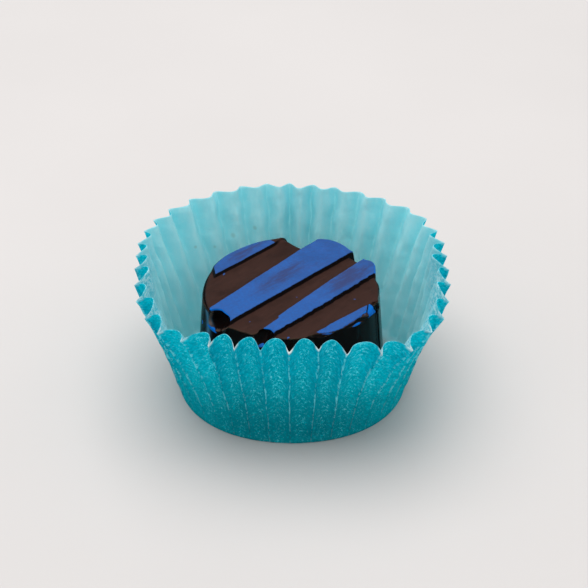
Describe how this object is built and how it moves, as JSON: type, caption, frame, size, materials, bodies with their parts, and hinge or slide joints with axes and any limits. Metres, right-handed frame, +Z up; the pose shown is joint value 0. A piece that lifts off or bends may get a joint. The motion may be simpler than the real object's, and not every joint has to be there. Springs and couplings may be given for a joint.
{
  "type": "moulded chocolate truffle in a pleated paper case",
  "caption": "Round moulded dark chocolate with slanting painted ribs, standing in an open pleated paper case with a flared, scalloped rim.",
  "frame": {"origin": "on the surface that the paper case stands on, under the middle of the object's box", "axes": "+Z up; -Y is the front, where the chocolate's wall has its bubbles; the painted ribs run from the front left to the back right"},
  "size_m": [0.0458, 0.0468, 0.0213],
  "materials": {
    "paper": "matte",
    "chocolate": "satin"
  },
  "bodies": {
    "root": {"paper_case": "paper", "chocolate": "chocolate"}
  },
  "joints": []
}
